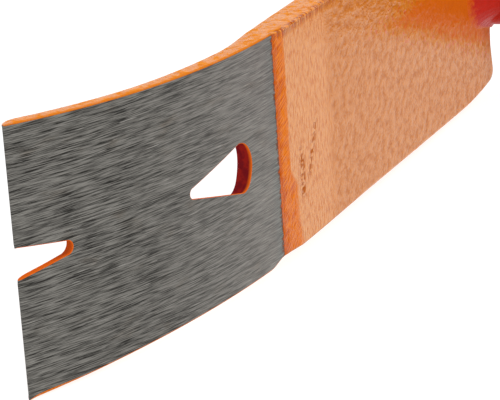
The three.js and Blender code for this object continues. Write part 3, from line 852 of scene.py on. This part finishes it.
class Skin:
    """The blade's surface while it is put together: places (s, z, depth), how much painted shade each has on
    the walls of the slot and the notch, how cut and how sheared each is, and the faces, some of them bare
    steel."""

    def __init__(self):
        self.places, self.paint, self.faces, self.bare = [], [], [], []

    def add_places(self, places, recess_shade, cut, side):
        """Adds places and returns the number of the first."""
        first = sum(len(part) for part in self.places)
        self.places.append(places)
        self.paint.append(np.column_stack((recess_shade, cut, side)))
        return first

    def add_face(self, corners, is_bare):
        if is_bare:
            self.bare.append(len(self.faces))
        self.faces.append(corners)


def front_lip(s, z, thick, on_cut, on_tip):
    """Radius of the edge between the front face and the rim."""
    near_tip = np.where(z < 0, WORN_CORNER * smooth(s / 2) * (1 - smooth((s - 3) / 10)), 0.0)
    on_body = smooth((s - GROUND_LENGTH) / BEVEL_LENGTH)
    on_shoulder = smooth((s - GROUND_LENGTH - SHOULDER_LIP_START) / SHOULDER_LIP_LENGTH)
    side = SIDE_LIP + near_tip + BODY_LIP_GAIN * on_body + SHOULDER_LIP_GAIN * on_shoulder
    return np.minimum(np.where(on_tip, TIP_LIP, np.where(on_cut, CUT_LIP, side)), 0.25 * thick)


def back_lip(s, thick, on_cut):
    on_body = smooth((s - GROUND_LENGTH) / BEVEL_LENGTH)
    return np.minimum(np.where(on_cut, BACK_CUT_LIP, BACK_LIP + BACK_LIP_GAIN * on_body), 0.3 * thick)


def loop_rim(loop, is_slot):
    """Rings of places round a loop, from the front face's edge over the rim to the back's, and for the
    loop's points how punched they are, how much painted shade they have, and how cut and sheared they are."""
    s, z = np.array(loop).T
    thick = thickness(s)
    on_notch = (np.abs(z - NOTCH_OFFSET) < NOTCH_HALF_MOUTH + ON_NOTCH) & (s < NOTCH_DEPTH + ON_NOTCH)
    on_tip = (s < ON_EDGE) & ~on_notch
    on_cut = on_notch | is_slot
    swell = SIDE_BULGE * smooth(s / 4)
    swell = np.where(on_cut | on_tip | (s > GROUND_LENGTH + SHOULDER_DISTANCE - 1), 0.0, swell)
    draft = NOTCH_DRAFT + (NOTCH_ROOT_DRAFT - NOTCH_DRAFT) * smooth((s - ROOT_START) / ROOT_LENGTH)
    taper = np.where(is_slot, SLOT_BREAKOUT, np.where(on_notch, draft * thick, 0.0))
    lips = front_lip(s, z, thick, on_cut, on_tip), back_lip(s, thick, on_cut)
    normals = inward(loop)
    rings = [
        np.column_stack((s + normals[:, 0] * offset, z + normals[:, 1] * offset, depth))
        for offset, depth in rim_profile(*lips, swell, taper, thick)
    ]
    # painted shade: a deeper red that grows towards the notch's root
    recess_shade = np.where(on_notch, NOTCH_ROOT_SHADE * smooth((s - ROOT_START) / 4), 0.0)
    sheared = np.where(on_cut | on_tip, 0.0, 1.0)
    return rings, (np.full(len(s), is_slot), recess_shade, on_cut.astype(float), sheared)


def add_rim(skin, loops):
    """Adds the rim of every loop. Returns its rings, each with all loops' points."""
    rims = [loop_rim(loop, index == 1) for index, loop in enumerate(loops)]
    rings = [np.concatenate(parts) for parts in zip(*(rim[0] for rim in rims), strict=True)]
    paint_values = zip(*(rim[1] for rim in rims), strict=True)
    punched, recess_shade, cut, side = (np.concatenate(parts) for parts in paint_values)
    last = len(rings) - 1
    for i, ring in enumerate(rings):
        share = i / last
        # painted shade: the slot's wall past the lighter rim, and the notch's deeper rows, get the dark reds
        notch_recess_shade = recess_shade * smooth((share - 0.25) / 0.3)
        skin.add_places(
            ring, np.where(punched, float(share > LIT_RIM_SHARE), notch_recess_shade),
            cut * float(0 < i < last), side * min(1.0, 2.2 * math.sin(math.pi * share)),
        )
    on_tip = [s < ON_EDGE for loop in loops for s, _ in loop]
    for i in range(last):
        near, far = i * len(ring), (i + 1) * len(ring)
        for a, b in side_numbers(loops):
            skin.add_face((near + a, near + b, far + b, far + a), on_tip[a] and on_tip[b])
    return rings


def add_face_sheet(skin, ring, loops, first, is_front):
    """Fills the front or the back face inside a ring of the rim, whose points start at number first."""
    starts = np.cumsum([len(loop) for loop in loops])[:-1]
    grid, triangles = triangulate(np.split(ring[:, :2], starts))
    depth = np.zeros(len(grid)) if is_front else thickness(grid[:, 0])
    plain = np.zeros(len(grid))
    base = skin.add_places(np.column_stack((grid, depth)), plain, plain, plain)
    places = np.concatenate((ring[:, :2], grid))
    bare_length = GROUND_LENGTH if is_front else EDGE_BEVEL_LENGTH
    for triangle in triangles:
        corners = [first + i if i < len(ring) else base + i - len(ring) for i in triangle]
        middle = np.mean(places[list(triangle), 0])
        skin.add_face(tuple(corners if is_front else corners[::-1]), middle < bare_length)


def build_blade(paint, steel):
    """Rim and faces of the blade, from outlines that have the material on their left."""
    loops = [outer_loop()[::-1], slot_loop()[::-1]]
    skin = Skin()
    rings = add_rim(skin, loops)
    add_face_sheet(skin, rings[0], loops, 0, True)
    add_face_sheet(skin, rings[-1], loops, (len(rings) - 1) * len(rings[0]), False)

    s, z, depth = np.concatenate(skin.places).T
    recess_shade, cut, side = np.concatenate(skin.paint).T
    points = blade_surface(s, z, depth)
    mesh = make_mesh("blade_body", points, skin.faces, paint, ("blade",), 40 * DEG)
    bevel = (s - GROUND_LENGTH) / bevel_length(z)
    for name, values in dict(
        along=s, across=z, depth=depth, recess_shade=recess_shade, cut=cut, side=side, bevel=bevel,
    ).items():
        set_attribute(mesh, name, values)
    mesh.materials.append(steel)
    for index in skin.bare:
        mesh.polygons[index].material_index = 1


# --- shank and weld ---

FOOT_GAP = 0.3  # between the shank's foot and the blade
SHANK_CHAMFER = 0.8
WELD_SWEEP = 84 * DEG  # how far the fillet runs to each side of the foot's front
WELD_FRONT_LEG, WELD_FRONT_RISE = 8.0, 6.0
WELD_SIDE_LEG, WELD_SIDE_RISE = 0.6, 0.6
WELD_FADE = 4.5
WELD_HOLLOW = 0.62  # 0 for a flat fillet and 1 for a quarter circle


def build_shank(material):
    """Round bar with a mitred foot that lies flat on the blade."""
    _, end, radius = along_shank("shank")
    directions = circle(128)
    stations = (0.0, 0.02, 0.06, 0.15, 0.3, 0.5, 0.7, 0.85, 1.0)
    points = []
    for share in stations:
        for sine, cosine in directions:
            foot = FOOT_GAP - radius * sine * math.tan(BODY_DROP)
            points.append((radius * sine, foot + (end - SHANK_CHAMFER - foot) * share, radius * cosine))
    tip = radius - SHANK_CHAMFER
    points += [(tip * sine, end, tip * cosine) for sine, cosine in directions]
    rings = len(stations) + 1
    faces = strips(rings, len(directions)) + ends(rings, len(directions))
    make_mesh("shank_bar", points, faces, material, ("shank",))


def weld_section(leg, rise, ripple, steps):
    """Hollow section of the fillet, as (distance out along the blade, height up the shank)."""
    ring = [(-0.6, -0.1), (-0.6, rise)]
    for k in range(steps + 1):
        t = k / steps
        bead = ripple * math.sin(math.pi * t) * 0.6
        out = leg * (WELD_HOLLOW * (1 - math.cos(90 * DEG * t)) + (1 - WELD_HOLLOW) * t)
        height = rise * (WELD_HOLLOW * (1 - math.sin(90 * DEG * t)) + (1 - WELD_HOLLOW) * (1 - t))
        ring.append((out + bead, height + bead))
    return ring + [(leg, -0.1)]


def build_weld(material):
    """Fillet all round the front of the foot, hollow in section, with the ripples of its beads."""
    steps, section = 120, 12
    points = []
    for i in range(steps + 1):
        turn = WELD_SWEEP * (2 * i / steps - 1)
        share = max(0.0, math.cos(turn)) ** WELD_FADE
        ripple = (0.05 * math.sin(turn * 46) + 0.04 * math.sin(turn * 23 + 1.0)) * share
        leg = WELD_SIDE_LEG + (WELD_FRONT_LEG - WELD_SIDE_LEG) * share
        rise = WELD_SIDE_RISE + (WELD_FRONT_RISE - WELD_SIDE_RISE) * share
        for out, height in weld_section(leg, rise, ripple, section):
            radius = SHANK_RADIUS + out
            ahead = radius * math.cos(turn) / math.cos(BODY_DROP) - height * math.tan(BODY_DROP)
            x = ahead * math.cos(BODY_DROP) + height * math.sin(BODY_DROP)
            y = -ahead * math.sin(BODY_DROP) + height * math.cos(BODY_DROP)
            points.append((x, y, radius * math.sin(turn)))
    size = len(points) // (steps + 1)
    faces = strips(steps + 1, size) + ends(steps + 1, size)
    mesh = make_mesh("weld_fillet", points, faces, material, ("root_weld",), 50 * DEG)
    toe = [0.0, 0.0] + [k / section for k in range(section + 1)] + [1.0]
    set_attribute(mesh, "toe", np.tile(toe, steps + 1))


# --- grip and cap ---

BORE = SHANK_RADIUS + 0.3
CORE_RADIUS = 12.0
SLEEVE_BORE = CORE_RADIUS + 0.3
COLLAR_SLOPE = 4.0
COLLAR_GROOVE = 0.45
COLLAR_GROOVE_PLACE = 1.6  # past the collar's middle
FLANGE_LENGTH = 4.0
BAND_CROWN = 0.3
SLEEVE_RADIUS = 15.5
SLEEVE_SWELL = 1.4
RIBS = 9
RIB_DEPTH = 0.9
RIB_STEPS = 28
POMMEL_START_RADIUS = 15.2
POMMEL_END_RADIUS = 17.6
CAP_BORE_DEPTH = 14.0
CAP_GROOVE = 0.6


def build_collar(material):
    start, end, outer = along_shank("front_collar")
    groove = (start + end) / 2 + COLLAR_GROOVE_PLACE
    floor = outer - COLLAR_GROOVE
    outline = rounded([
        (BORE, start, 0.2), (outer - COLLAR_SLOPE, start, 0.5), (outer - 1.1, start + 2.9, 0.8),
        (outer, start + COLLAR_SLOPE, 0.5), (outer, groove - 0.5, 0.1), (floor, groove - 0.25, 0.1),
        (floor, groove + 0.25, 0.1), (outer, groove + 0.5, 0.1), (outer, end, 0.4), (BORE, end, 0.2),
    ])
    lathe("collar_ring", outline, material, ("front_collar",))


def build_core(material):
    start, end, outer = along_shank("grip_core")
    flange = start + FLANGE_LENGTH
    outline = rounded([
        (BORE, start, 0.2), (outer - 1, start, 0.6), (outer, start + 1, 0.6), (outer, flange, 0.4),
        (CORE_RADIUS, flange, 0.2), (CORE_RADIUS, end, 0.3), (BORE, end, 0.2),
    ])
    lathe("core_tube", outline, material, ("grip_core",))


def build_band(node, material):
    start, end, outer = along_shank(node)
    rim = outer - BAND_CROWN
    outline = rounded([
        (SLEEVE_BORE, start, 0.1), (rim, start, 0.5), (outer, (start + end) / 2, 1.0), (rim, end, 0.5),
        (SLEEVE_BORE, end, 0.1),
    ])
    lathe(node + "_ring", outline, material, (node,))


def build_sleeve(material):
    """Sleeve with round ribs, widest in the middle and with a rounded lip at each end."""
    start, end, _ = along_shank("grip_sleeve")
    length = end - start
    steps = RIBS * RIB_STEPS
    outline = [(SLEEVE_BORE, start)]
    for i in range(steps + 1):
        share = i / steps
        wave = 0.5 * (1 - math.cos(share * RIBS * 2 * math.pi))
        radius = SLEEVE_RADIUS - RIB_DEPTH + SLEEVE_SWELL * math.sin(share * math.pi) + RIB_DEPTH * wave**0.6
        lip = min(share, 1 - share) * length
        radius -= 0.35 * max(0.0, 1 - lip / 0.6) ** 2
        outline.append((radius, start + length * share))
    outline.append((SLEEVE_BORE, end))
    lathe("sleeve_ribbed", outline, material, ("grip_sleeve",), 192)


def build_pommel(material):
    start, end, outer = along_shank("pommel")
    neck = POMMEL_START_RADIUS
    outline = rounded([
        (BORE, start, 0.2), (neck - 0.2, start, 0.5), (neck + 0.5, start + 3.2, 3),
        (neck + 2.3, start + 7, 4), (outer - 1.7, start + 11, 3),
        (outer, start + 13.6, 2), (outer, start + 16.4, 2),
        (outer - 1.5, start + 19.6, 2), (POMMEL_END_RADIUS, end, 0.8), (BORE, end, 0.2),
    ], 8)
    lathe("pommel_flare", outline, material, ("pommel",))


def build_washer(material):
    start, end, outer = along_shank("cap_washer")
    outline = rounded([(BORE, start, 0.1), (outer, start, 0.35), (outer, end, 0.35), (BORE, end, 0.1)])
    lathe("washer_ring", outline, material, ("cap_washer",))


def build_cap(material):
    start, end, outer = along_shank("strike_cap")
    bore_end = start + CAP_BORE_DEPTH
    floor = outer - CAP_GROOVE
    outline = rounded([
        (BORE, start, 0.2), (outer - 1, start, 0.5), (outer, start + 1, 0.5), (outer, start + 9.2, 0.2),
        (floor, start + 9.8, 0.3), (floor, start + 11.2, 0.3), (outer, start + 11.8, 0.2),
        (outer, end - 2.5, 1.2), (outer - 2.5, end, 1.0), (0.0, end, 0.0), (0.0, bore_end, 0.0),
        (BORE, bore_end, 0.2),
    ], 6)
    lathe("cap_head", outline, material, ("strike_cap",))


def build_pin(material):
    """The pin's two ends show flush in the cap's side, each slightly domed."""
    low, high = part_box("cap_pin")
    centre = (low + high) / 2
    radius = (high.x - low.x) / 2 / MM
    half = (high.z - low.z) / 2 / MM
    along = (centre.y - HEEL[1]) / MM
    dome = [(0.0, -half), (radius * 0.6, -half + 0.05), (radius - 0.3, -half + 0.15), (radius, -half + 0.5)]
    rings = dome + [(r, -z) for r, z in reversed(dome)]
    directions = circle(48)
    points = [(r * cosine, along + r * sine, z) for r, z in rings for sine, cosine in directions]
    faces = strips(len(rings), len(directions))
    make_mesh("pin_rod", points, faces, material, ("cap_pin",), merge=True)


# --- stage ---

CAMERA_FROM_HEEL = (512.7, 81.5, 133.7)
CAMERA_FORWARD = (-0.91328, -0.24487, -0.3255)
CAMERA_ROLL = -3.784 * DEG
CAMERA_LENS = 181.3
FLOOR_EXTENT = 40.0  # metres
KEY_PLACE, KEY_AIM = (0.2, 0.9, 1.1), (0.0, -0.1, 0.0)  # metres
KEY_SIZE = 0.8
KEY_POWER = 6.0


def aimed(direction):
    return Vector(direction).to_track_quat("-Z", "Y")


def make_camera():
    data = bpy.data.cameras.new("camera")
    data.lens = CAMERA_LENS
    data.sensor_width = 36.0
    data.clip_start = 0.02
    data.clip_end = 100.0
    camera = bpy.data.objects.new("camera", data)
    bpy.context.scene.collection.objects.link(camera)
    camera.location = HEEL + np.array(CAMERA_FROM_HEEL) * MM
    camera.rotation_mode = "QUATERNION"
    camera.rotation_quaternion = aimed(CAMERA_FORWARD) @ Quaternion((0, 0, 1), CAMERA_ROLL)
    bpy.context.scene.camera = camera


def make_floor():
    """Pale floor that glows a little, so that it stays plain."""
    e = FLOOR_EXTENT
    mesh = bpy.data.meshes.new("floor")
    mesh.from_pydata([(-e, -e, 0), (e, -e, 0), (e, e, 0), (-e, e, 0)], [], [(0, 1, 2, 3)])
    floor = bpy.data.objects.new("floor", mesh)
    bpy.context.scene.collection.objects.link(floor)
    shader = Shader(
        "floor_white", Base_Color=(0.3, 0.3, 0.3, 1), Roughness=0.9, Specular_IOR_Level=0.1,
        Emission_Color=(1, 1, 1, 1), Emission_Strength=0.82,
    )
    mesh.materials.append(shader.material)


def make_lights():
    scene = bpy.context.scene
    world = bpy.data.worlds.new("studio")
    world.use_nodes = True
    world.node_tree.nodes["Background"].inputs["Color"].default_value = (1.0, 1.0, 1.0, 1)
    world.node_tree.nodes["Background"].inputs["Strength"].default_value = 1.0
    scene.world = world
    data = bpy.data.lights.new("key", "AREA")
    data.size = KEY_SIZE
    data.energy = KEY_POWER
    light = bpy.data.objects.new("key", data)
    light.location = KEY_PLACE
    light.rotation_mode = "QUATERNION"
    light.rotation_quaternion = aimed(Vector(KEY_AIM) - Vector(KEY_PLACE))
    scene.collection.objects.link(light)


# --- the whole ---

bpy.context.scene.view_settings.view_transform = "Standard"
make_camera()
make_floor()
make_lights()

paint_on_blade = blade_paint()
bare_steel = ground_steel()
paint_and_shade_on_bar = bar_paint_and_shade()
plated = turned_steel("plated_steel", (0.60, 0.61, 0.62), 0.28)
forged = turned_steel("forged_steel", (0.36, 0.35, 0.33), 0.36, 0.5)
rubber = moulded("grip_rubber", (0.022, 0.022, 0.024), 0.62, 0.45, 0.05)
hard_plastic = moulded("hard_plastic", (0.018, 0.018, 0.02), 0.42, 0.35, 0.02)
orange_plastic = moulded("orange_plastic", (0.60, 0.12, 0.015), 0.4, 0.4, 0.015)

build_blade(paint_on_blade, bare_steel)
build_shank(paint_and_shade_on_bar)
build_weld(paint_and_shade_on_bar)
build_collar(plated)
build_core(hard_plastic)
build_band("grip_band_front", orange_plastic)
build_sleeve(rubber)
build_band("grip_band_rear", orange_plastic)
build_pommel(rubber)
build_washer(plated)
build_cap(forged)
build_pin(forged)
